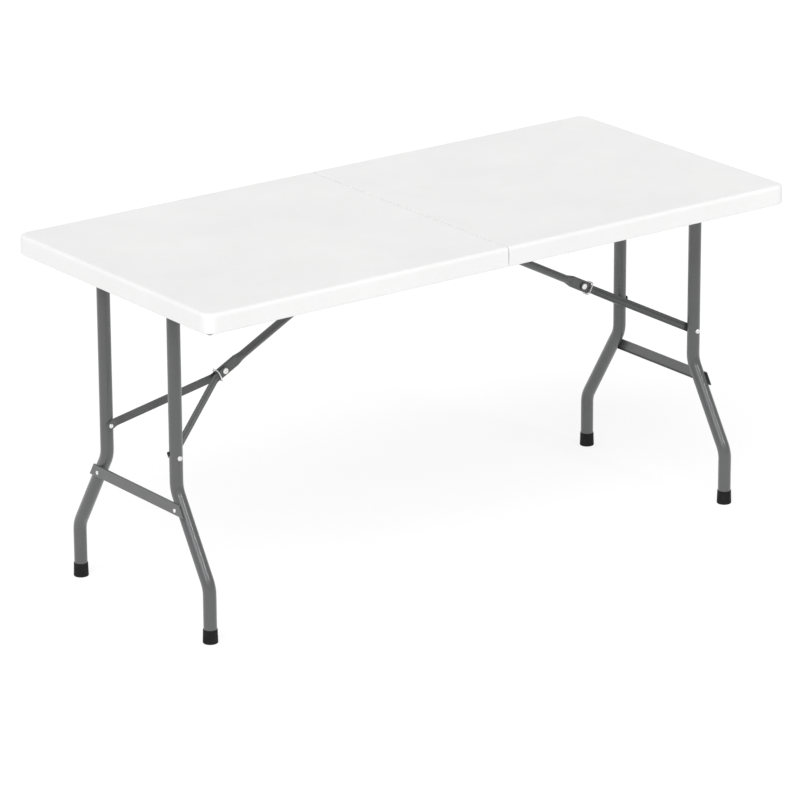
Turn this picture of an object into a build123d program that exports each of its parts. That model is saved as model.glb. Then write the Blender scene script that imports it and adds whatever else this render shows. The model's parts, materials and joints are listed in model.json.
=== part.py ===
from build123d import *
import math
import os

os.makedirs("parts", exist_ok=True)

# ---------------------------------------------------------------------------
# Driving dimensions, millimetres.
# X runs along the table, Y from front (-) to back (+), Z up.
# The origin is on the floor under the middle of the table.
# Everything is drawn for the right half; the left half is the same turned
# half a turn about Z, apart from the carry handle and the hinge rod.
# ---------------------------------------------------------------------------
LENGTH = 1500.0
WIDTH = 700.0
HEIGHT = 740.0
TOP_DEPTH = 42.0
RIM_Z = HEIGHT - TOP_DEPTH
HALF_LENGTH = LENGTH / 2
HALF_WIDTH = WIDTH / 2
PLAN_CORNER_R = 25.0
TOP_EDGE_R = 8.0
BOTTOM_EDGE_R = 3.0
FOLD_GAP = 1.0
FOLD_EDGE_R = 0.8
RIM_THICKNESS = 14.0
CEILING_Z = 728.0
DIMPLE_PITCH = 62.0
DIMPLE_DEPTH = 5.0

# fold hinge
FOLD_Z = 690.0
ROD_R = 7.5
ROD_HALF = 290.0
HINGE_PIN_R = 4.0
KNUCKLE_YS = (196.0, -63.0)
KNUCKLE_WIDTH = 30.0
KNUCKLE_WALL = 4.0
HINGE_PLATE_T = 3.0
HINGE_EYE_R = 7.0
HINGE_FOOT_X0 = 16.0
HINGE_FOOT_X1 = 46.0
HINGE_FOOT_WIDTH = 24.0
HINGE_PIN_Y0 = 250.0
HINGE_PIN_Y1 = 305.0
RIGHT_PLATE_Y = 294.0
LEFT_PLATE_Y = 299.0
RUNNING_CLEARANCE = 0.05
LOOSE_CLEARANCE = 0.3

# leg sets
LEG_X = 682.0
LEG_UPPER_Y = 128.0
LEG_FOOT_Y = 240.5
BEND_HIGH_Z = 301.0
BEND_LOW_Z = 118.0
LEG_BEND_R = 55.0
LEG_R = 14.0
TUBE_WALL = 1.5
LEG_TOP_Z = 701.0
PIVOT_X = 700.0
PIVOT_Z = 692.0
PIVOT_R = 12.0
PIVOT_HALF = 297.0
PIVOT_PLATE_Y = 286.0
PIVOT_PLATE_T = 4.0
CAP_R = 16.0
CAP_TOP_R = 15.1
CAP_HEIGHT = 30.0
CAP_SOLE = 4.0

# crossbar of a leg set
CROSSBAR_LOW_Z = 251.0
CROSSBAR_HIGH_Z = 276.5
CROSSBAR_LOW_Y = 173.5
CROSSBAR_HIGH_Y = 158.0
CROSSBAR_T = 2.0
CROSSBAR_FLANGE = 4.0
CROSSBAR_RIVET_Y = 143.0
CROSSBAR_RIVET_Z = 261.0
PLUG_Y = 122.0
PLUG_Z = 377.0
PLUG_R = 4.5
PLUG_PROUD = 1.6

# folding brace: straight with the legs down, and folded back on itself with
# the legs up, when its top pin has slid outwards along the bracket's slot
BRACE_TOP_X = 32.0
BRACE_TOP_Z = 708.0
BRACE_LEG_Z = 369.5
LOWER_LINK = 235.0
BRACE_TUBE_R = 8.75
TONGUE_HEIGHT = 25.0
TONGUE_T = 7.0
TONGUE_CORNER_R = 2.8
TONGUE_END = 20.0
FLARE_START = 54.0
FLARE_END = 34.0
ARM_HEIGHT = 18.0
ARM_T = 2.4
ARM_BEAD = 1.2
KNEE_PIN_R = 4.0
KNEE_HEAD_R = 6.5
KNEE_HEAD_T = 1.7
TOP_HEAD_T = 2.5
HEAD_DIMPLE_R = 1.9
HEAD_DIMPLE_DEPTH = 0.8
RING_WIRE_R = 1.25
RING_HEIGHT = 31.0
RING_WIDTH = 23.6
RING_AT = 17.0
RING_CORNER_R = 5.0

leg_drop = PIVOT_Z - BRACE_LEG_Z
folded_leg_z = PIVOT_Z + (PIVOT_X - LEG_X)
UPPER_LINK = math.hypot(LEG_X - BRACE_TOP_X, BRACE_TOP_Z - BRACE_LEG_Z) - LOWER_LINK
folded_reach = math.sqrt((UPPER_LINK - LOWER_LINK) ** 2 - (folded_leg_z - BRACE_TOP_Z) ** 2)
SLOT_TRAVEL = PIVOT_X - leg_drop - folded_reach - BRACE_TOP_X
BRACE_TILT = math.degrees(math.atan2(BRACE_TOP_Z - BRACE_LEG_Z, LEG_X - BRACE_TOP_X))
KNEE_X = BRACE_TOP_X + UPPER_LINK * math.cos(math.radians(BRACE_TILT))
KNEE_Z = BRACE_TOP_Z - UPPER_LINK * math.sin(math.radians(BRACE_TILT))

# carry handle on the back edge of the right half
HANDLE_X = 356.0
HANDLE_Y = 340.0
HANDLE_Z = 706.0
HANDLE_SPREAD = 52.0
HANDLE_DROP = 75.0
GRIP_R = 9.5
STRAP_WIDTH = 18.0
STRAP_T = 6.0
EYE_R = 5.5
HANDLE_PIN_R = 2.5
NOTCH_HALF = 12.0

SIDES = ("right", "left")


def turned(shape, side):
    """The right-hand shape, or the same turned half a turn for the left."""
    return shape if side == "right" else Rot(0, 0, 180) * shape


def flipped(shape):
    """The shape mirrored from the back to the front."""
    return mirror(shape, about=Plane.XZ)


def block(x0, x1, y0, y1, z0, z1):
    """A box between two opposite corners."""
    size = Box(x1 - x0, y1 - y0, z1 - z0)
    return Pos((x0 + x1) / 2, (y0 + y1) / 2, (z0 + z1) / 2) * size


def rod_y(radius, y0, y1, x=0.0, z=0.0):
    """A round bar along Y."""
    return Pos(x, (y0 + y1) / 2, z) * Rot(90, 0, 0) * Cylinder(radius, y1 - y0)


def rod_x(radius, x0, x1, y=0.0, z=0.0):
    """A round bar along X."""
    return Pos((x0 + x1) / 2, y, z) * Rot(0, 90, 0) * Cylinder(radius, x1 - x0)


def plate_xz(points, y0, y1):
    """A flat plate with an XZ outline, between two Y planes."""
    outline = make_face(Polyline(*[(x, y0, z) for x, z in points], close=True))
    return extrude(outline, amount=y1 - y0, dir=(0, 1, 0))


def on_brace(shape):
    """From knee coordinates (X down the brace, Z square to it) to the table."""
    return Pos(KNEE_X, 0, KNEE_Z) * Rot(0, BRACE_TILT, 0) * shape


def save(shape, node):
    """Write one node."""
    export_step(shape, f"parts/{node}.step")


# ---------------------------------------------------------------------------
# Screw places shared by the panels, rails and brackets
# ---------------------------------------------------------------------------
RAIL_Y0 = 315.0
RAIL_Y1 = 333.0
RAIL_X0 = 24.0
RAIL_X1 = 726.0
RAIL_T = 1.5
RAIL_DROP = 20.0
RAIL_SCREW_Y = 322.0
RAIL_SCREW_XS = [60.0 + 157.5 * i for i in range(5)]
PIVOT_FOOT_Y0 = 266.0
PIVOT_SCREW_XS = (PIVOT_X - 10, PIVOT_X + 10)
PIVOT_SCREW_Y = 275.0
BRACE_SCREW_XS = (30.0, 118.0)
BRACE_SCREW_Y = 21.0
SCREW_R = 2.0
SCREW_HEAD_R = 4.5
SCREW_HEAD_T = 2.4
FOOT_T = 2.5


def screw_places():
    """(x, y, seat height) of every screw under the right half."""
    places = []
    for sign in (1, -1):
        places += [(x, sign * RAIL_SCREW_Y, CEILING_Z - RAIL_T) for x in RAIL_SCREW_XS]
        places += [(x, sign * PIVOT_SCREW_Y, CEILING_Z - FOOT_T) for x in PIVOT_SCREW_XS]
        places += [(x, sign * BRACE_SCREW_Y, CEILING_Z - FOOT_T) for x in BRACE_SCREW_XS]
    return places


def screw(x, y, seat_z):
    """A pan-head screw driven up through a foot lying on the ceiling."""
    head = Pos(x, y, seat_z - SCREW_HEAD_T / 2) * Cylinder(SCREW_HEAD_R, SCREW_HEAD_T)
    head = fillet(head.edges().sort_by(Axis.Z)[0], 1.2)
    cross = Box(5.0, 1.0, 1.6) + Box(1.0, 5.0, 1.6)
    head -= Pos(x, y, seat_z - SCREW_HEAD_T) * cross
    shank = Pos(x, y, seat_z + 4.5) * Cylinder(SCREW_R - 0.1, 9.0)
    return head + shank


def screw_holes():
    """The clearance holes for every screw, as solids to cut away."""
    return [Pos(x, y, CEILING_Z + 2) * Cylinder(SCREW_R, 16.0) for x, y, _ in screw_places()]


# ---------------------------------------------------------------------------
# Moulded top halves
# ---------------------------------------------------------------------------
def panel_shell():
    """The outer moulding: flat top, rounded outer edges, square fold edge."""
    body = block(FOLD_GAP, HALF_LENGTH, -HALF_WIDTH, HALF_WIDTH, RIM_Z, HEIGHT)
    corners = body.edges().filter_by(Axis.Z).sort_by(Axis.X)[-2:]
    body = fillet(corners, PLAN_CORNER_R)
    top_edges = body.faces().sort_by(Axis.Z)[-1].edges().sort_by(Axis.X)
    body = fillet(top_edges[1:], TOP_EDGE_R)
    low_edges = body.faces().sort_by(Axis.Z)[0].edges().sort_by(Axis.X)
    body = fillet(low_edges[1:], BOTTOM_EDGE_R)
    fold_edge = body.faces().sort_by(Axis.Z)[-1].edges().sort_by(Axis.X)[0]
    return chamfer(fold_edge, FOLD_EDGE_R)


def panel_recess():
    """The space under the top that the legs and brace fold into."""
    wall = HALF_LENGTH - RIM_THICKNESS
    side = HALF_WIDTH - RIM_THICKNESS
    recess = block(RIM_THICKNESS, wall, -side, side, RIM_Z - 1, CEILING_Z)
    recess = fillet(recess.edges().filter_by(Axis.Z), 12.0)
    for sign in (1, -1):
        y = sign * LEG_FOOT_Y
        recess += block(-1, RIM_THICKNESS + 13, y - 20, y + 20, RIM_Z - 1, CEILING_Z)
    return recess


def dimples():
    """Rows of round kiss-off dimples in the underside, clear of the screws."""
    pits = []
    for i in range(10):
        for j in range(-4, 5):
            x = 84.0 + i * DIMPLE_PITCH
            y = j * DIMPLE_PITCH
            pits.append(Pos(x, y, CEILING_Z + DIMPLE_DEPTH / 2) * Cone(13.0, 9.0, DIMPLE_DEPTH))
    return pits


def knuckle(y):
    """A moulded half-hook that carries the hinge rod from one side."""
    y0 = y - KNUCKLE_WIDTH / 2
    y1 = y + KNUCKLE_WIDTH / 2
    bore = ROD_R + LOOSE_CLEARANCE
    outer = bore + KNUCKLE_WALL
    hook = rod_y(outer, y0, y1, 0, FOLD_Z)
    hook += block(0, 24, y0, y1, FOLD_Z - 4, RIM_Z + 1)
    hook += block(RIM_THICKNESS - 1, 24, y0, y1, RIM_Z, CEILING_Z + 1)
    hook -= rod_y(bore, y0 - 1, y1 + 1, 0, FOLD_Z)
    half_space = block(FOLD_GAP, 40, y0 - 2, y1 + 2, FOLD_Z - 40, HEIGHT - 4)
    return hook & half_space


def handle_notches():
    """Two slots in the back rim that the handle straps swing through."""
    notches = []
    for sign in (1, -1):
        x = HANDLE_X + sign * HANDLE_SPREAD
        slot = block(x - NOTCH_HALF, x + NOTCH_HALF, RAIL_Y1, HALF_WIDTH + 1, RIM_Z - 1, HANDLE_Z + 8)
        notches.append(slot + rod_x(HANDLE_PIN_R, x - 15, x + 15, HANDLE_Y, HANDLE_Z))
    return notches


def top_panel(with_handle):
    """One half of the top."""
    panel = panel_shell() - panel_recess()
    for y in KNUCKLE_YS:
        panel += knuckle(y)
    panel -= dimples() + screw_holes()
    if with_handle:
        panel -= handle_notches()
    return panel


save(top_panel(True), "top_panel_right")
save(turned(top_panel(False), "left"), "top_panel_left")


# ---------------------------------------------------------------------------
# Steel rails, brackets and screws under each half
# ---------------------------------------------------------------------------
def side_rail():
    """Angle rail that stiffens the long edge, back side of the right half."""
    rail = block(RAIL_X0, RAIL_X1, RAIL_Y0, RAIL_Y1, CEILING_Z - RAIL_T, CEILING_Z)
    rail += block(RAIL_X0, RAIL_X1, RAIL_Y1 - RAIL_T, RAIL_Y1, CEILING_Z - RAIL_DROP, CEILING_Z)
    for x in RAIL_SCREW_XS:
        rail -= Pos(x, RAIL_SCREW_Y, CEILING_Z) * Cylinder(SCREW_R, 10.0)
    return rail


def pivot_bracket():
    """Saddle plate that a leg pivot tube turns in, back side."""
    y0 = PIVOT_PLATE_Y
    y1 = PIVOT_PLATE_Y + PIVOT_PLATE_T
    width = 17.0
    plate = rod_y(width, y0, y1, PIVOT_X, PIVOT_Z)
    plate += block(PIVOT_X - width, PIVOT_X + width, y0, y1, PIVOT_Z, CEILING_Z)
    plate += block(PIVOT_X - width, PIVOT_X + width, PIVOT_FOOT_Y0, y1, CEILING_Z - FOOT_T, CEILING_Z)
    plate -= rod_y(PIVOT_R + RUNNING_CLEARANCE, y0 - 1, y1 + 1, PIVOT_X, PIVOT_Z)
    for x in PIVOT_SCREW_XS:
        plate -= Pos(x, PIVOT_SCREW_Y, CEILING_Z) * Cylinder(SCREW_R, 10.0)
    return plate


BRACKET_CHEEK_Y0 = 10.5
BRACKET_CHEEK_Y1 = 13.0
BRACKET_CHEEK_R = 9.5
SLOT_CLEARANCE = 0.15


def brace_bracket():
    """Pressed channel near the fold, slotted for the brace's top pin."""
    x0 = BRACE_TOP_X
    x1 = BRACE_TOP_X + SLOT_TRAVEL
    slot_r = KNEE_PIN_R + SLOT_CLEARANCE
    saddle = block(x0 - 14, x1 + 14, -28, 28, CEILING_Z - FOOT_T, CEILING_Z)
    for sign in (1, -1):
        near = min(sign * BRACKET_CHEEK_Y0, sign * BRACKET_CHEEK_Y1)
        far = max(sign * BRACKET_CHEEK_Y0, sign * BRACKET_CHEEK_Y1)
        low_z = BRACE_TOP_Z - BRACKET_CHEEK_R
        saddle += block(x0 - 10, x1 + 10, near, far, BRACE_TOP_Z, CEILING_Z)
        saddle += block(x0, x1, near, far, low_z, BRACE_TOP_Z)
        for x in (x0, x1):
            saddle += rod_y(BRACKET_CHEEK_R, near, far, x, BRACE_TOP_Z)
        for x in BRACE_SCREW_XS:
            saddle -= Pos(x, sign * BRACE_SCREW_Y, CEILING_Z) * Cylinder(SCREW_R, 10.0)
    for x in (x0, x1):
        saddle -= rod_y(slot_r, -20, 20, x, BRACE_TOP_Z)
    return saddle - block(x0, x1, -20, 20, BRACE_TOP_Z - slot_r, BRACE_TOP_Z + slot_r)


def headed_pin(radius, half_grip, head_r, head_t, x, z):
    """A rivet-like pin along Y with a domed head on both ends."""
    pin = rod_y(radius, -half_grip, half_grip, x, z)
    for sign in (1, -1):
        inner = sign * half_grip
        outer = sign * (half_grip + head_t)
        head = rod_y(head_r, min(inner, outer), max(inner, outer), x, z)
        rim = head.edges().filter_by(GeomType.CIRCLE).sort_by(Axis.Y)[-1 if sign > 0 else 0]
        dimple_y = sign * (half_grip + head_t - HEAD_DIMPLE_DEPTH)
        dimple = rod_y(HEAD_DIMPLE_R, min(dimple_y, 2 * dimple_y), max(dimple_y, 2 * dimple_y), x, z)
        pin += fillet(rim, head_t * 0.7) - dimple
    return pin


def hinge_plate(y0):
    """Gusset plate of the fold hinge, reaching under the fold edge."""
    y1 = y0 + HINGE_PLATE_T
    x0 = HINGE_FOOT_X0
    x1 = HINGE_FOOT_X1
    low_z = FOLD_Z - HINGE_EYE_R
    high_z = FOLD_Z + HINGE_EYE_R
    web = [(0, low_z), (0, high_z), (x0, high_z), (x0, CEILING_Z - 1),
           (x1, CEILING_Z - 1), (x1, CEILING_Z - 20), (x0 + 8, low_z)]
    plate = plate_xz(web, y0, y1) + rod_y(HINGE_EYE_R, y0, y1, 0, FOLD_Z)
    plate += block(x0, x1, y1 - HINGE_FOOT_WIDTH, y1, CEILING_Z - FOOT_T, CEILING_Z)
    return plate


for side in SIDES:
    back_name, front_name = ("back", "front") if side == "right" else ("front", "back")
    for place, adjust in ((back_name, lambda s: s), (front_name, flipped)):
        save(turned(adjust(side_rail()), side), f"side_rail_{side}_{place}")
        save(turned(adjust(pivot_bracket()), side), f"leg_pivot_bracket_{side}_{place}")
        plate_y = RIGHT_PLATE_Y if side == "right" else LEFT_PLATE_Y
        hole_r = HINGE_PIN_R + (RUNNING_CLEARANCE if side == "right" else 0.0)
        plate = hinge_plate(plate_y) - rod_y(hole_r, plate_y - 1, plate_y + 9, 0, FOLD_Z)
        save(turned(adjust(plate), side), f"hinge_plate_{side}_{place}")
    save(turned(brace_bracket(), side), f"brace_bracket_{side}")
    top_grip = BRACKET_CHEEK_Y1 + LOOSE_CLEARANCE
    top_pin = headed_pin(KNEE_PIN_R, top_grip, KNEE_HEAD_R, TOP_HEAD_T, BRACE_TOP_X, BRACE_TOP_Z)
    save(turned(top_pin, side), f"brace_top_pin_{side}")
    screws = Compound(children=[screw(*place) for place in screw_places()])
    save(turned(screws, side), f"screws_{side}")

hinge_rod = rod_y(ROD_R, -ROD_HALF, ROD_HALF, 0, FOLD_Z)
hinge_rod -= rod_y(HINGE_PIN_R, -ROD_HALF - 1, ROD_HALF + 1, 0, FOLD_Z)
save(hinge_rod, "hinge_rod")
hinge_pin = rod_y(HINGE_PIN_R, HINGE_PIN_Y0, HINGE_PIN_Y1, 0, FOLD_Z)
save(Compound(children=[hinge_pin, flipped(hinge_pin)]), "hinge_pins")


# ---------------------------------------------------------------------------
# Leg sets
# ---------------------------------------------------------------------------
def leg_path():
    """Centreline of the back leg tube, from its top to its foot."""
    return FilletPolyline(
        (LEG_X, LEG_UPPER_Y, LEG_TOP_Z),
        (LEG_X, LEG_UPPER_Y, BEND_HIGH_Z),
        (LEG_X, LEG_FOOT_Y, BEND_LOW_Z),
        (LEG_X, LEG_FOOT_Y, CAP_SOLE),
        radius=LEG_BEND_R,
    )


def leg_bar(radius):
    """A solid bar of the given radius along the leg's centreline."""
    start = Plane(origin=(LEG_X, LEG_UPPER_Y, LEG_TOP_Z), z_dir=(0, 0, -1))
    return sweep(start * Circle(radius), path=leg_path())


leg_outer = leg_bar(LEG_R)


def leg_tube():
    """The back leg tube, coped round the pivot tube that it is welded to."""
    tube = leg_outer - leg_bar(LEG_R - TUBE_WALL)
    tube -= rod_y(PIVOT_R, 0, PIVOT_HALF, PIVOT_X, PIVOT_Z)
    tube -= rod_y(3.0, LEG_UPPER_Y, LEG_UPPER_Y + 20, LEG_X, BRACE_LEG_Z)
    parts = tube.solids().sort_by(SortBy.VOLUME)
    return parts[-1]


def foot_cap():
    """Rubber cap on the back leg's foot."""
    cap = Pos(LEG_X, LEG_FOOT_Y, CAP_HEIGHT / 2) * Cone(CAP_R, CAP_TOP_R, CAP_HEIGHT)
    cap = fillet(cap.edges().filter_by(GeomType.CIRCLE).sort_by(Axis.Z)[-1], 0.5)
    cap = fillet(cap.edges().filter_by(GeomType.CIRCLE).sort_by(Axis.Z)[0], 2.0)
    bore = Pos(LEG_X, LEG_FOOT_Y, CAP_SOLE + CAP_HEIGHT / 2) * Cylinder(LEG_R, CAP_HEIGHT)
    return cap - bore


def crossbar():
    """Pressed channel riveted across the outboard side of the splayed tubes."""
    face_x = LEG_X + LEG_R + CROSSBAR_T
    corners = [(-CROSSBAR_LOW_Y, CROSSBAR_LOW_Z), (CROSSBAR_LOW_Y, CROSSBAR_LOW_Z),
               (CROSSBAR_HIGH_Y, CROSSBAR_HIGH_Z), (-CROSSBAR_HIGH_Y, CROSSBAR_HIGH_Z)]
    outline = make_face(Polyline(*[(face_x, y, z) for y, z in corners], close=True))
    bar = extrude(outline, amount=CROSSBAR_FLANGE, dir=(-1, 0, 0))
    bar = fillet(bar.faces().sort_by(Axis.X)[-1].edges(), 1.0)
    hollow = block(face_x - CROSSBAR_FLANGE - 1, face_x - CROSSBAR_T, -200, 200,
                   CROSSBAR_LOW_Z + CROSSBAR_T, CROSSBAR_HIGH_Z - CROSSBAR_T)
    bar -= hollow
    for sign in (1, -1):
        bar -= rod_x(2.5, face_x - 8, face_x + 1, sign * CROSSBAR_RIVET_Y, CROSSBAR_RIVET_Z)
    bar -= [leg_outer, flipped(leg_outer)]
    return bar.solids().sort_by(SortBy.VOLUME)[-1]


def domed_head_x(radius, thickness, y, z, x):
    """A domed head on a face that looks along +X."""
    head = rod_x(radius, x, x + thickness, y, z)
    rim = head.edges().filter_by(GeomType.CIRCLE).sort_by(Axis.X)[-1]
    return fillet(rim, thickness * 0.75)


def crossbar_rivets():
    """The two rivets through the ends of the crossbar's web."""
    face_x = LEG_X + LEG_R + CROSSBAR_T
    rivets = []
    for sign in (1, -1):
        y = sign * CROSSBAR_RIVET_Y
        head = domed_head_x(4.5, 1.6, y, CROSSBAR_RIVET_Z, face_x)
        rivets.append(head + rod_x(2.4, face_x - CROSSBAR_T, face_x + 0.5, y, CROSSBAR_RIVET_Z))
    return Compound(children=rivets)


def leg_rivet():
    """Head and shank of the brace rivet, on the back leg's outer side."""
    outer_y = LEG_UPPER_Y + LEG_R
    head = rod_y(5.5, outer_y - 2, outer_y + 2.4, LEG_X, BRACE_LEG_Z)
    head = fillet(head.edges().filter_by(GeomType.CIRCLE).sort_by(Axis.Y)[-1], 1.8)
    dimple_y = outer_y + 2.4 - HEAD_DIMPLE_DEPTH
    head -= rod_y(HEAD_DIMPLE_R, dimple_y, dimple_y + 5, LEG_X, BRACE_LEG_Z)
    head -= leg_outer
    shank = rod_y(2.9, outer_y - 3, outer_y + 1, LEG_X, BRACE_LEG_Z)
    return (head + shank).solids().sort_by(SortBy.VOLUME)[-1]


def leg_plug():
    """Small plastic plug on the outboard side of the back leg."""
    tip_x = LEG_X + LEG_R + PLUG_PROUD
    plug = rod_x(PLUG_R, tip_x - 6, tip_x, PLUG_Y, PLUG_Z)
    plug = fillet(plug.edges().filter_by(GeomType.CIRCLE).sort_by(Axis.X)[-1], 1.4)
    return (plug - leg_outer).solids().sort_by(Axis.X)[-1]


pivot_tube = rod_y(PIVOT_R, -PIVOT_HALF, PIVOT_HALF, PIVOT_X, PIVOT_Z)
pivot_tube -= rod_y(PIVOT_R - TUBE_WALL, -PIVOT_HALF - 1, PIVOT_HALF + 1, PIVOT_X, PIVOT_Z)

for side in SIDES:
    back_name, front_name = ("back", "front") if side == "right" else ("front", "back")
    for place, adjust in ((back_name, lambda s: s), (front_name, flipped)):
        save(turned(adjust(leg_tube()), side), f"leg_tube_{side}_{place}")
        save(turned(adjust(foot_cap()), side), f"foot_cap_{side}_{place}")
    save(turned(pivot_tube, side), f"leg_pivot_tube_{side}")
    save(turned(crossbar(), side), f"crossbar_{side}")
    save(turned(crossbar_rivets(), side), f"crossbar_rivets_{side}")
    rivets = Compound(children=[leg_rivet(), flipped(leg_rivet())])
    save(turned(rivets, side), f"leg_rivets_{side}")
    save(turned(leg_plug(), side), f"leg_plug_{side}")


# ---------------------------------------------------------------------------
# Folding braces, drawn with the knee at the origin and the leg end at +X
# ---------------------------------------------------------------------------
ARM_NEAR_Y = TONGUE_T / 2 + LOOSE_CLEARANCE + ARM_T / 2
ARM_FAR_Y = LEG_UPPER_Y - LEG_R - 0.8 - ARM_T / 2
ARM_STRAIGHT = 28.0
ARM_FOOT = 13.0
ARM_BEND_R = 16.0


def upper_arm():
    """Brace tube, flattened to a taller tongue at the knee."""
    tube = rod_x(BRACE_TUBE_R, -UPPER_LINK, -FLARE_START)
    tube += rod_y(BRACE_TUBE_R, -BRACE_TUBE_R, BRACE_TUBE_R, -UPPER_LINK) & rod_x(
        BRACE_TUBE_R, -UPPER_LINK - BRACE_TUBE_R, -UPPER_LINK + 1)
    tube -= rod_x(BRACE_TUBE_R - TUBE_WALL, -UPPER_LINK + 14, -FLARE_START - 2)
    circle = Plane(origin=(-FLARE_START, 0, 0), x_dir=(0, 1, 0), z_dir=(1, 0, 0))
    slot = Plane(origin=(-FLARE_END, 0, 0), x_dir=(0, 1, 0), z_dir=(1, 0, 0))
    flat = RectangleRounded(TONGUE_T, TONGUE_HEIGHT, TONGUE_CORNER_R)
    flare = loft([circle * Circle(BRACE_TUBE_R), slot * flat])
    tongue = extrude(slot * flat, amount=FLARE_END + TONGUE_END)
    end_edges = tongue.faces().sort_by(Axis.X)[-1].edges()
    tongue = fillet(end_edges, 1.5)
    arm = tube + flare + tongue
    arm -= rod_y(KNEE_PIN_R + RUNNING_CLEARANCE, -20, 20, -UPPER_LINK)
    arm -= rod_y(KNEE_PIN_R, -20, 20)
    return arm


def lower_arm():
    """Pressed strip from the knee out to the back leg, with a raised bead."""
    path = FilletPolyline(
        (0, ARM_NEAR_Y, 0),
        (ARM_STRAIGHT, ARM_NEAR_Y, 0),
        (LOWER_LINK - ARM_FOOT, ARM_FAR_Y, 0),
        (LOWER_LINK, ARM_FAR_Y, 0),
        radius=ARM_BEND_R,
    )
    half_t = ARM_T / 2
    half_h = ARM_HEIGHT / 2
    across = [(-half_t, -half_h), (half_t, -half_h), (half_t, -3.5), (half_t + ARM_BEAD, -1.8),
              (half_t + ARM_BEAD, 1.8), (half_t, 3.5), (half_t, half_h), (-half_t, half_h)]
    section = Plane(origin=(0, ARM_NEAR_Y, 0), x_dir=(0, 1, 0), z_dir=(1, 0, 0))
    arm = sweep(section * make_face(Polyline(*across, close=True)), path=path)
    flat_near = block(-1, 14, ARM_NEAR_Y + half_t, ARM_NEAR_Y + 5, -6, 6)
    flat_far = block(LOWER_LINK - 40, LOWER_LINK + 1, ARM_FAR_Y + half_t, ARM_FAR_Y + 5, -6, 6)
    arm -= [flat_near, flat_far]
    arm += rod_y(half_h, ARM_NEAR_Y - half_t, ARM_NEAR_Y + half_t, 0)
    arm += rod_y(half_h, ARM_FAR_Y - half_t, ARM_FAR_Y + half_t, LOWER_LINK)
    arm -= rod_y(KNEE_PIN_R + RUNNING_CLEARANCE, 0, 20, 0)
    arm -= rod_y(3.0, ARM_FAR_Y - 10, ARM_FAR_Y + 10, LOWER_LINK)
    return arm


def arm_rivet():
    """Rivet head on the inner side of the back arm's leg end."""
    inner = ARM_FAR_Y - ARM_T / 2
    head = rod_y(5.0, inner - 2.2, inner, LOWER_LINK)
    head = fillet(head.edges().filter_by(GeomType.CIRCLE).sort_by(Axis.Y)[0], 1.6)
    return head + rod_y(2.9, inner - 0.5, inner + ARM_T, LOWER_LINK)


def lock_ring():
    """Closed wire loop that slides over the knee."""
    at_ring = Plane(origin=(RING_AT, 0, 0), x_dir=(0, 1, 0), z_dir=(1, 0, 0))
    wide = RING_WIDTH - 2 * RING_WIRE_R
    tall = RING_HEIGHT - 2 * RING_WIRE_R
    path = (at_ring * RectangleRounded(wide, tall, RING_CORNER_R)).face().outer_wire()
    start = Plane(origin=path @ 0, z_dir=path % 0)
    return sweep(start * Circle(RING_WIRE_R), path=path)


knee_half = ARM_NEAR_Y + ARM_T / 2 + LOOSE_CLEARANCE
knee_rivet = headed_pin(KNEE_PIN_R, knee_half, KNEE_HEAD_R, KNEE_HEAD_T, 0, 0)

for side in SIDES:
    back_name, front_name = ("back", "front") if side == "right" else ("front", "back")
    save(turned(on_brace(upper_arm()), side), f"brace_upper_arm_{side}")
    save(turned(on_brace(knee_rivet), side), f"knee_rivet_{side}")
    save(turned(on_brace(lower_arm()), side), f"brace_lower_arm_{side}_{back_name}")
    save(turned(on_brace(flipped(lower_arm())), side), f"brace_lower_arm_{side}_{front_name}")
    pair = Compound(children=[on_brace(arm_rivet()), on_brace(flipped(arm_rivet()))])
    save(turned(pair, side), f"arm_rivets_{side}")
    save(turned(on_brace(lock_ring()), side), f"lock_ring_{side}")


# ---------------------------------------------------------------------------
# Carry handle, hanging from the back rim of the right half
# ---------------------------------------------------------------------------
grip_z = HANDLE_Z - HANDLE_DROP + GRIP_R
arch = ThreePointArc(
    (HANDLE_X - HANDLE_SPREAD - 3, HANDLE_Y, grip_z + 11),
    (HANDLE_X, HANDLE_Y, grip_z),
    (HANDLE_X + HANDLE_SPREAD + 3, HANDLE_Y, grip_z + 11),
)
grip = sweep(Plane(origin=arch @ 0, z_dir=arch % 0) * Circle(GRIP_R), path=arch)
for end in (arch @ 0, arch @ 1):
    grip += Pos(end) * Sphere(GRIP_R)
save(grip, "handle_grip")


def handle_strap(x):
    """Flat strap from a pin in the rim down into the grip."""
    x0 = x - STRAP_WIDTH / 2
    x1 = x + STRAP_WIDTH / 2
    strap = block(x0, x1, HANDLE_Y - STRAP_T / 2, HANDLE_Y + STRAP_T / 2, grip_z + 8, HANDLE_Z)
    strap = fillet(strap.edges().filter_by(Axis.Z), 2.0)
    strap += rod_x(EYE_R, x0, x1, HANDLE_Y, HANDLE_Z)
    strap -= rod_x(HANDLE_PIN_R + RUNNING_CLEARANCE, x0 - 1, x1 + 1, HANDLE_Y, HANDLE_Z)
    return (strap - grip).solids().sort_by(SortBy.VOLUME)[-1]


inner_x = HANDLE_X - HANDLE_SPREAD
outer_x = HANDLE_X + HANDLE_SPREAD
save(handle_strap(inner_x), "handle_strap_inner")
save(handle_strap(outer_x), "handle_strap_outer")
pins = [rod_x(HANDLE_PIN_R, x - 14, x + 14, HANDLE_Y, HANDLE_Z) for x in (inner_x, outer_x)]
save(Compound(children=pins), "handle_pins")
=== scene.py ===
import json
import math
import bmesh
import bpy
from mathutils import Matrix, Vector


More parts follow.
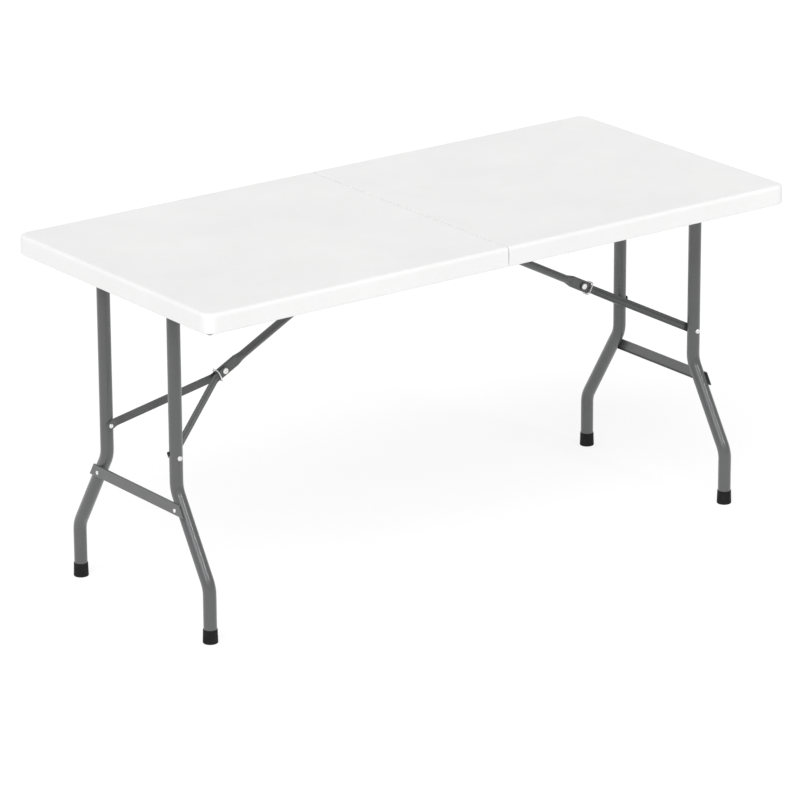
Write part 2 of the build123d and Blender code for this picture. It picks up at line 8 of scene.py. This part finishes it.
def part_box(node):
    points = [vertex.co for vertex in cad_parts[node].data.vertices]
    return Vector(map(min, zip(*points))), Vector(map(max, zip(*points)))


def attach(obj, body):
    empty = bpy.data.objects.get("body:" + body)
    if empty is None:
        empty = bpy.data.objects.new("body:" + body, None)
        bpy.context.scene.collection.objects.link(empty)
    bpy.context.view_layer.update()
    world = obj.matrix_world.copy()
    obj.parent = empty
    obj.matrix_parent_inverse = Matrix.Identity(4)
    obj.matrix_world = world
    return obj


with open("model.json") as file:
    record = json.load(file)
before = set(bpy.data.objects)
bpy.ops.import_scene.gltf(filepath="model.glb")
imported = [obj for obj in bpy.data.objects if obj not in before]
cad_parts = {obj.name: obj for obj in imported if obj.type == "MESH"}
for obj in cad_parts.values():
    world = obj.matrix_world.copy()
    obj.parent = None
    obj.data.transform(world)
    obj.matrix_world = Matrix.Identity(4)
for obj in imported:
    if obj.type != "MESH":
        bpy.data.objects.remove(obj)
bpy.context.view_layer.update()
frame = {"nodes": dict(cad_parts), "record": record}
nodes = frame["nodes"]
scene = bpy.context.scene

# ---------------------------------------------------------------------------
# Camera: standing front left of the table, far off with a long lens
# ---------------------------------------------------------------------------
CAMERA_AT = Vector((-5.9328, -7.9954, 3.7307))
CAMERA_TARGET = Vector((-0.02139, 0.0, 0.3187))
CAMERA_LENS = 222.4
CAMERA_ROLL = math.radians(-0.291)
SENSOR_WIDTH = 36.0
CLIP_START = 0.5
CLIP_END = 60.0


def add_camera():
    """The long-lens camera, slightly rolled."""
    data = bpy.data.cameras.new("camera")
    data.lens = CAMERA_LENS
    data.sensor_width = SENSOR_WIDTH
    data.clip_start = CLIP_START
    data.clip_end = CLIP_END
    camera = bpy.data.objects.new("camera", data)
    scene.collection.objects.link(camera)
    forward = (CAMERA_TARGET - CAMERA_AT).normalized()
    right = forward.cross(Vector((0, 0, 1))).normalized()
    up = right.cross(forward)
    right_rolled = right * math.cos(CAMERA_ROLL) + up * math.sin(CAMERA_ROLL)
    up_rolled = up * math.cos(CAMERA_ROLL) - right * math.sin(CAMERA_ROLL)
    turn = Matrix((right_rolled, up_rolled, -forward)).transposed().to_4x4()
    camera.matrix_world = Matrix.Translation(CAMERA_AT) @ turn
    scene.camera = camera


add_camera()

# ---------------------------------------------------------------------------
# Procedural materials
# ---------------------------------------------------------------------------


class Shader:
    """A node material built up one texture at a time."""

    def __init__(self, name):
        self.material = bpy.data.materials.new(name)
        self.material.use_nodes = True
        self.tree = self.material.node_tree
        self.bsdf = self.tree.nodes["Principled BSDF"]
        self.coordinates = self.tree.nodes.new("ShaderNodeTexCoord")
        self.height = None

    def link(self, source, target):
        self.tree.links.new(source, target)

    def noise(self, scale, detail=2.0, roughness=0.5, stretch=None):
        """Noise in object space, optionally stretched along an axis."""
        noise = self.tree.nodes.new("ShaderNodeTexNoise")
        noise.inputs["Scale"].default_value = scale
        noise.inputs["Detail"].default_value = detail
        noise.inputs["Roughness"].default_value = roughness
        place = self.coordinates.outputs["Object"]
        if stretch:
            mapping = self.tree.nodes.new("ShaderNodeMapping")
            mapping.inputs["Scale"].default_value = stretch
            self.link(place, mapping.inputs["Vector"])
            place = mapping.outputs["Vector"]
        self.link(place, noise.inputs["Vector"])
        return noise.outputs["Fac"]

    def cells(self, scale, randomness=1.0):
        """Distance to the nearest cell centre, for pebbled textures."""
        cells = self.tree.nodes.new("ShaderNodeTexVoronoi")
        cells.feature = "SMOOTH_F1"
        cells.inputs["Scale"].default_value = scale
        cells.inputs["Randomness"].default_value = randomness
        self.link(self.coordinates.outputs["Object"], cells.inputs["Vector"])
        return cells.outputs["Distance"]

    def ramp(self, value, low, high, start=0.0, end=1.0):
        """A value turned into a colour, from low at start to high at end."""
        ramp = self.tree.nodes.new("ShaderNodeValToRGB")
        ramp.color_ramp.elements[0].position = start
        ramp.color_ramp.elements[1].position = end
        ramp.color_ramp.elements[0].color = (*low, 1.0)
        ramp.color_ramp.elements[1].color = (*high, 1.0)
        self.link(value, ramp.inputs["Fac"])
        return ramp.outputs["Color"]

    def spread(self, value, low, high, start=0.3, end=0.7):
        """A value mapped onto a number range."""
        spread = self.tree.nodes.new("ShaderNodeMapRange")
        spread.inputs["From Min"].default_value = start
        spread.inputs["From Max"].default_value = end
        spread.inputs["To Min"].default_value = low
        spread.inputs["To Max"].default_value = high
        self.link(value, spread.inputs["Value"])
        return spread.outputs["Result"]

    def mix(self, first, second, factor):
        """Two colours mixed by a factor."""
        mix = self.tree.nodes.new("ShaderNodeMix")
        mix.data_type = "RGBA"
        self.link(factor, mix.inputs["Factor"])
        self.link(first, mix.inputs[6])
        self.link(second, mix.inputs[7])
        return mix.outputs[2]

    def colour(self, value):
        self.link(value, self.bsdf.inputs["Base Color"])

    def roughness(self, value):
        self.link(value, self.bsdf.inputs["Roughness"])

    def bump(self, value, depth, strength=1.0):
        """One more layer of relief, depth in metres, on top of the last."""
        bump = self.tree.nodes.new("ShaderNodeBump")
        bump.inputs["Distance"].default_value = depth
        bump.inputs["Strength"].default_value = strength
        self.link(value, bump.inputs["Height"])
        if self.height is not None:
            self.link(self.height, bump.inputs["Normal"])
        self.height = bump.outputs["Normal"]
        self.link(self.height, self.bsdf.inputs["Normal"])


def top_plastic():
    """White blow-moulded polyethylene with a fine pebbled skin."""
    s = Shader("top_plastic")
    patches = s.noise(5.0, 3.0)
    clean = s.ramp(patches, (0.800, 0.805, 0.800), (0.835, 0.838, 0.832), 0.3, 0.7)
    dust = s.ramp(s.noise(60.0, 4.0, 0.6), (0.765, 0.765, 0.752), (0.830, 0.832, 0.826), 0.2, 0.75)
    s.colour(s.mix(clean, dust, s.spread(s.noise(14.0, 2.0), 0.0, 0.45, 0.45, 0.8)))
    s.roughness(s.spread(s.noise(22.0, 3.0), 0.40, 0.58))
    s.bsdf.inputs["IOR"].default_value = 1.50
    s.bsdf.inputs["Specular IOR Level"].default_value = 0.40
    s.bsdf.inputs["Subsurface Weight"].default_value = 0.06
    s.bsdf.inputs["Subsurface Radius"].default_value = (0.004, 0.004, 0.004)
    s.bsdf.inputs["Subsurface Scale"].default_value = 1.0
    s.bump(s.noise(3.5, 1.0), 0.0010, 0.35)
    s.bump(s.cells(420.0), 0.00022, 0.55)
    s.bump(s.noise(1500.0, 2.0), 0.00006, 0.5)
    return s.material


def powder_coat(name, low, high, grain):
    """Dark grey powder coat: orange peel, fine grain and rubbed patches."""
    s = Shader(name)
    base = s.ramp(s.noise(9.0, 3.0), low, high, 0.3, 0.7)
    lighter = tuple(1.22 * c for c in high)
    fleck = s.ramp(s.noise(1300.0, 1.0), low, lighter, 0.45, 0.75)
    s.colour(s.mix(base, fleck, s.spread(s.noise(700.0, 1.0), 0.15, 0.55)))
    s.roughness(s.spread(s.noise(40.0, 3.0), 0.27, 0.38))
    s.bsdf.inputs["Specular IOR Level"].default_value = 0.55
    s.bsdf.inputs["Coat Weight"].default_value = 0.40
    s.bsdf.inputs["Coat Roughness"].default_value = 0.11
    s.bump(s.noise(grain, 2.0), 0.00016, 0.5)
    s.bump(s.noise(grain * 3.4, 1.0), 0.00005, 0.5)
    return s.material


def plated_steel(name, base, rough_low, rough_high):
    """Zinc or nickel plate with a brushed bloom and faint dull spots."""
    s = Shader(name)
    dull = tuple(0.80 * c for c in base)
    s.colour(s.ramp(s.noise(350.0, 4.0, 0.6), dull, base, 0.30, 0.55))
    s.roughness(s.spread(s.noise(180.0, 3.0), rough_low, rough_high))
    s.bsdf.inputs["Metallic"].default_value = 1.0
    s.bump(s.noise(900.0, 2.0, 0.5, (1.0, 1.0, 6.0)), 0.00004, 0.5)
    s.bump(s.noise(160.0, 1.0), 0.00010, 0.3)
    return s.material


def black_polymer(name, low, high, rough_low, rough_high, grain, depth):
    """Black rubber or moulded plastic with a scuffed, grained skin."""
    s = Shader(name)
    base = s.ramp(s.noise(70.0, 3.0), low, high, 0.3, 0.7)
    scuff = s.ramp(s.noise(500.0, 2.0), low, tuple(1.9 * c for c in high), 0.5, 0.8)
    s.colour(s.mix(base, scuff, s.spread(s.noise(45.0, 2.0), 0.0, 0.6, 0.5, 0.75)))
    s.roughness(s.spread(s.noise(120.0, 3.0), rough_low, rough_high))
    s.bsdf.inputs["Specular IOR Level"].default_value = 0.22
    s.bump(s.cells(grain), depth, 0.6)
    s.bump(s.noise(grain * 2.5, 2.0), depth * 0.4, 0.5)
    return s.material


materials = {
    "top_plastic": top_plastic(),
    "frame_paint": powder_coat("frame_paint", (0.074, 0.075, 0.077), (0.090, 0.091, 0.093), 420.0),
    # A darker copy of the frame paint for the brace arms: painted shade for where they sit under the
    # top.
    "frame_paint_painted_shade": powder_coat("frame_paint_painted_shade", (0.060, 0.061, 0.063), (0.074, 0.075, 0.077), 480.0),
    "bracket_steel": powder_coat("bracket_steel", (0.068, 0.069, 0.071), (0.084, 0.085, 0.087), 560.0),
    "rivet_zinc": plated_steel("rivet_zinc", (0.86, 0.86, 0.85), 0.24, 0.36),
    "screw_zinc": plated_steel("screw_zinc", (0.70, 0.70, 0.68), 0.26, 0.42),
    "ring_wire": plated_steel("ring_wire", (0.84, 0.84, 0.83), 0.14, 0.24),
    "foot_rubber": black_polymer(
        "foot_rubber", (0.006, 0.006, 0.006), (0.010, 0.010, 0.010), 0.62, 0.80, 700.0, 0.00012),
    "plug_plastic": black_polymer(
        "plug_plastic", (0.011, 0.011, 0.012), (0.018, 0.018, 0.019), 0.36, 0.50, 900.0, 0.00008),
    "handle_plastic": black_polymer(
        "handle_plastic", (0.014, 0.014, 0.015), (0.024, 0.024, 0.025), 0.38, 0.55, 600.0, 0.00014),
}

for part in frame["record"]["subparts"]:
    mesh = nodes[part["node"]].data
    finish = materials[part["material_slot"]]
    # The brace arms take the darker copy of the frame paint, which is painted shade, not a different
    # paint.
    if part["node"].startswith(("brace_upper_arm", "brace_lower_arm")):
        finish = materials["frame_paint_painted_shade"]
    mesh.materials.clear()
    mesh.materials.append(finish)

# ---------------------------------------------------------------------------
# Fine pieces on the frame: weld beads on the leg sets, ribs round the grip
# ---------------------------------------------------------------------------
TUBE_SIDES = 10
BEAD_STEPS = 64
BEAD_R = 0.0017
BEAD_RIPPLES = 22
BEAD_RIPPLE_DEPTH = 0.16
RIB_COUNT = 13
RIB_STEPS = 40
RIB_R = 0.0009
RIB_PROUD = 0.00035
RIB_SPREAD = 0.62
TINY = 1e-9


def tube_rings(mesh, points, radii, closed):
    """Add a smooth tube through the points to a bmesh, one radius a point."""
    count = len(points)
    side = Vector((0, 0, 1)).cross(points[1] - points[0])
    if side.length < TINY:
        side = Vector((0, 1, 0))
    rings = []
    for i, (point, radius) in enumerate(zip(points, radii)):
        before = points[(i - 1) % count] if closed else points[max(i - 1, 0)]
        after = points[(i + 1) % count] if closed else points[min(i + 1, count - 1)]
        along = (after - before).normalized()
        side = (side - along * side.dot(along)).normalized()
        other = along.cross(side)
        turns = [2 * math.pi * k / TUBE_SIDES for k in range(TUBE_SIDES)]
        spokes = [side * math.cos(t) + other * math.sin(t) for t in turns]
        rings.append([mesh.verts.new(point + spoke * radius) for spoke in spokes])
    for i in range(count if closed else count - 1):
        ring, following = rings[i], rings[(i + 1) % count]
        for k in range(TUBE_SIDES):
            n = (k + 1) % TUBE_SIDES
            mesh.faces.new((ring[k], ring[n], following[n], following[k]))
    if not closed:
        mesh.faces.new(rings[0])
        mesh.faces.new(rings[-1])


def finish_piece(mesh, name, slot, body):
    """Turn a bmesh into a named piece that rides on a body."""
    bmesh.ops.recalc_face_normals(mesh, faces=mesh.faces)
    for face in mesh.faces:
        face.smooth = True
    data = bpy.data.meshes.new(name)
    mesh.to_mesh(data)
    mesh.free()
    data.materials.append(materials[slot])
    piece = bpy.data.objects.new(name, data)
    scene.collection.objects.link(piece)
    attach(piece, body)


def weld_bead(side, place):
    """Rippled bead where a leg tube is welded to its pivot tube."""
    leg_low, leg_high = (Vector(c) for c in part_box(f"leg_tube_{side}_{place}"))
    pivot_low, pivot_high = (Vector(c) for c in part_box(f"leg_pivot_tube_{side}"))
    leg_r = (leg_high.x - leg_low.x) / 2
    pivot_r = (pivot_high.x - pivot_low.x) / 2
    leg_x = (leg_low.x + leg_high.x) / 2
    leg_y = leg_low.y + leg_r if place == "back" else leg_high.y - leg_r
    pivot_x = (pivot_low.x + pivot_high.x) / 2
    pivot_z = (pivot_low.z + pivot_high.z) / 2
    inward = 1.0 if leg_x < pivot_x else -1.0
    offset = abs(pivot_x - leg_x)
    lowest = math.acos((offset - leg_r) / pivot_r)
    highest = -math.asin(min((leg_high.z - BEAD_R - pivot_z) / pivot_r, 1.0))
    points = []
    for i in range(BEAD_STEPS):
        phase = 2 * i / (BEAD_STEPS - 1) - 1
        swing = lowest - (lowest - highest) * abs(phase)
        reach = pivot_r * math.cos(swing)
        across = math.sqrt(max(leg_r ** 2 - (offset - reach) ** 2, 0.0))
        y = leg_y + math.copysign(across, phase)
        points.append(Vector((pivot_x - inward * reach, y, pivot_z - pivot_r * math.sin(swing))))
    steps = range(BEAD_STEPS)
    ripples = [math.sin(math.pi * BEAD_RIPPLES * i / BEAD_STEPS) for i in steps]
    radii = [BEAD_R * (1 + BEAD_RIPPLE_DEPTH * ripple) for ripple in ripples]
    mesh = bmesh.new()
    tube_rings(mesh, points, radii, False)
    finish_piece(mesh, f"weld_bead_{side}_{place}", "frame_paint", f"legs_{side}")


def grip_ribs():
    """Thin moulded ribs round the carry handle's arched grip."""
    low, high = (Vector(c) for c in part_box("handle_grip"))
    grip_r = (high.y - low.y) / 2
    half_span = (high.x - low.x) / 2 - grip_r
    rise = (high.z - low.z) - 2 * grip_r
    arch_r = (half_span ** 2 + rise ** 2) / (2 * rise)
    middle = Vector(((low.x + high.x) / 2, (low.y + high.y) / 2, low.z + grip_r + arch_r))
    reach = RIB_SPREAD * math.asin(half_span / arch_r)
    mesh = bmesh.new()
    for i in range(RIB_COUNT):
        lean = reach * (2 * i / (RIB_COUNT - 1) - 1)
        outward = Vector((math.sin(lean), 0, -math.cos(lean)))
        centre = middle + outward * arch_r
        turns = [2 * math.pi * k / RIB_STEPS for k in range(RIB_STEPS)]
        ring_r = grip_r + RIB_PROUD - RIB_R
        spokes = [outward * math.cos(t) + Vector((0, math.sin(t), 0)) for t in turns]
        points = [centre + spoke * ring_r for spoke in spokes]
        tube_rings(mesh, points, [RIB_R] * RIB_STEPS, True)
    finish_piece(mesh, "grip_ribs", "handle_plastic", "handle")


for leg_side in ("right", "left"):
    for leg_place in ("back", "front"):
        weld_bead(leg_side, leg_place)
grip_ribs()

# ---------------------------------------------------------------------------
# Stage: pale floor, white surroundings, a soft key light and a narrow glint
# ---------------------------------------------------------------------------
FLOOR_HALF = 30.0
FLOOR_GLOW = 0.75
SURROUND_STRENGTH = 0.60
KEY_DIRECTION = (0.274, 0.233, -0.425)
KEY_ANGLE = 46.0
KEY_STRENGTH = 1.78
GLINT_DIRECTION = (-0.129, 0.775, -0.619)
GLINT_ANGLE = 6.0
GLINT_STRENGTH = 0.28


def add_floor():
    """A large pale floor with a glow of its own, so that shadows stay faint."""
    data = bpy.data.meshes.new("floor")
    h = FLOOR_HALF
    data.from_pydata([(-h, -h, 0), (h, -h, 0), (h, h, 0), (-h, h, 0)], [], [(0, 1, 2, 3)])
    floor = bpy.data.objects.new("floor", data)
    scene.collection.objects.link(floor)
    s = Shader("floor_paper")
    s.colour(s.ramp(s.noise(2.0, 2.0), (0.275, 0.275, 0.275), (0.285, 0.285, 0.285), 0.3, 0.7))
    s.bsdf.inputs["Roughness"].default_value = 0.9
    s.bsdf.inputs["Specular IOR Level"].default_value = 0.0
    s.bsdf.inputs["Emission Color"].default_value = (1.0, 1.0, 1.0, 1.0)
    s.bsdf.inputs["Emission Strength"].default_value = FLOOR_GLOW
    data.materials.append(s.material)


def add_sun(name, direction, angle, strength):
    """A light that falls evenly along a direction, softer as its angle grows."""
    data = bpy.data.lights.new(name, "SUN")
    data.angle = math.radians(angle)
    data.energy = strength
    lamp = bpy.data.objects.new(name, data)
    scene.collection.objects.link(lamp)
    lamp.rotation_mode = "QUATERNION"
    lamp.rotation_quaternion = Vector(direction).to_track_quat("-Z", "Y")


add_floor()
add_sun("key", KEY_DIRECTION, KEY_ANGLE, KEY_STRENGTH)
add_sun("glint", GLINT_DIRECTION, GLINT_ANGLE, GLINT_STRENGTH)

world = bpy.data.worlds.new("surroundings")
world.use_nodes = True
background = world.node_tree.nodes["Background"]
background.inputs["Color"].default_value = (1.0, 1.0, 1.0, 1.0)
background.inputs["Strength"].default_value = SURROUND_STRENGTH
scene.world = world
scene.view_settings.view_transform = "Standard"
scene.view_settings.look = "None"
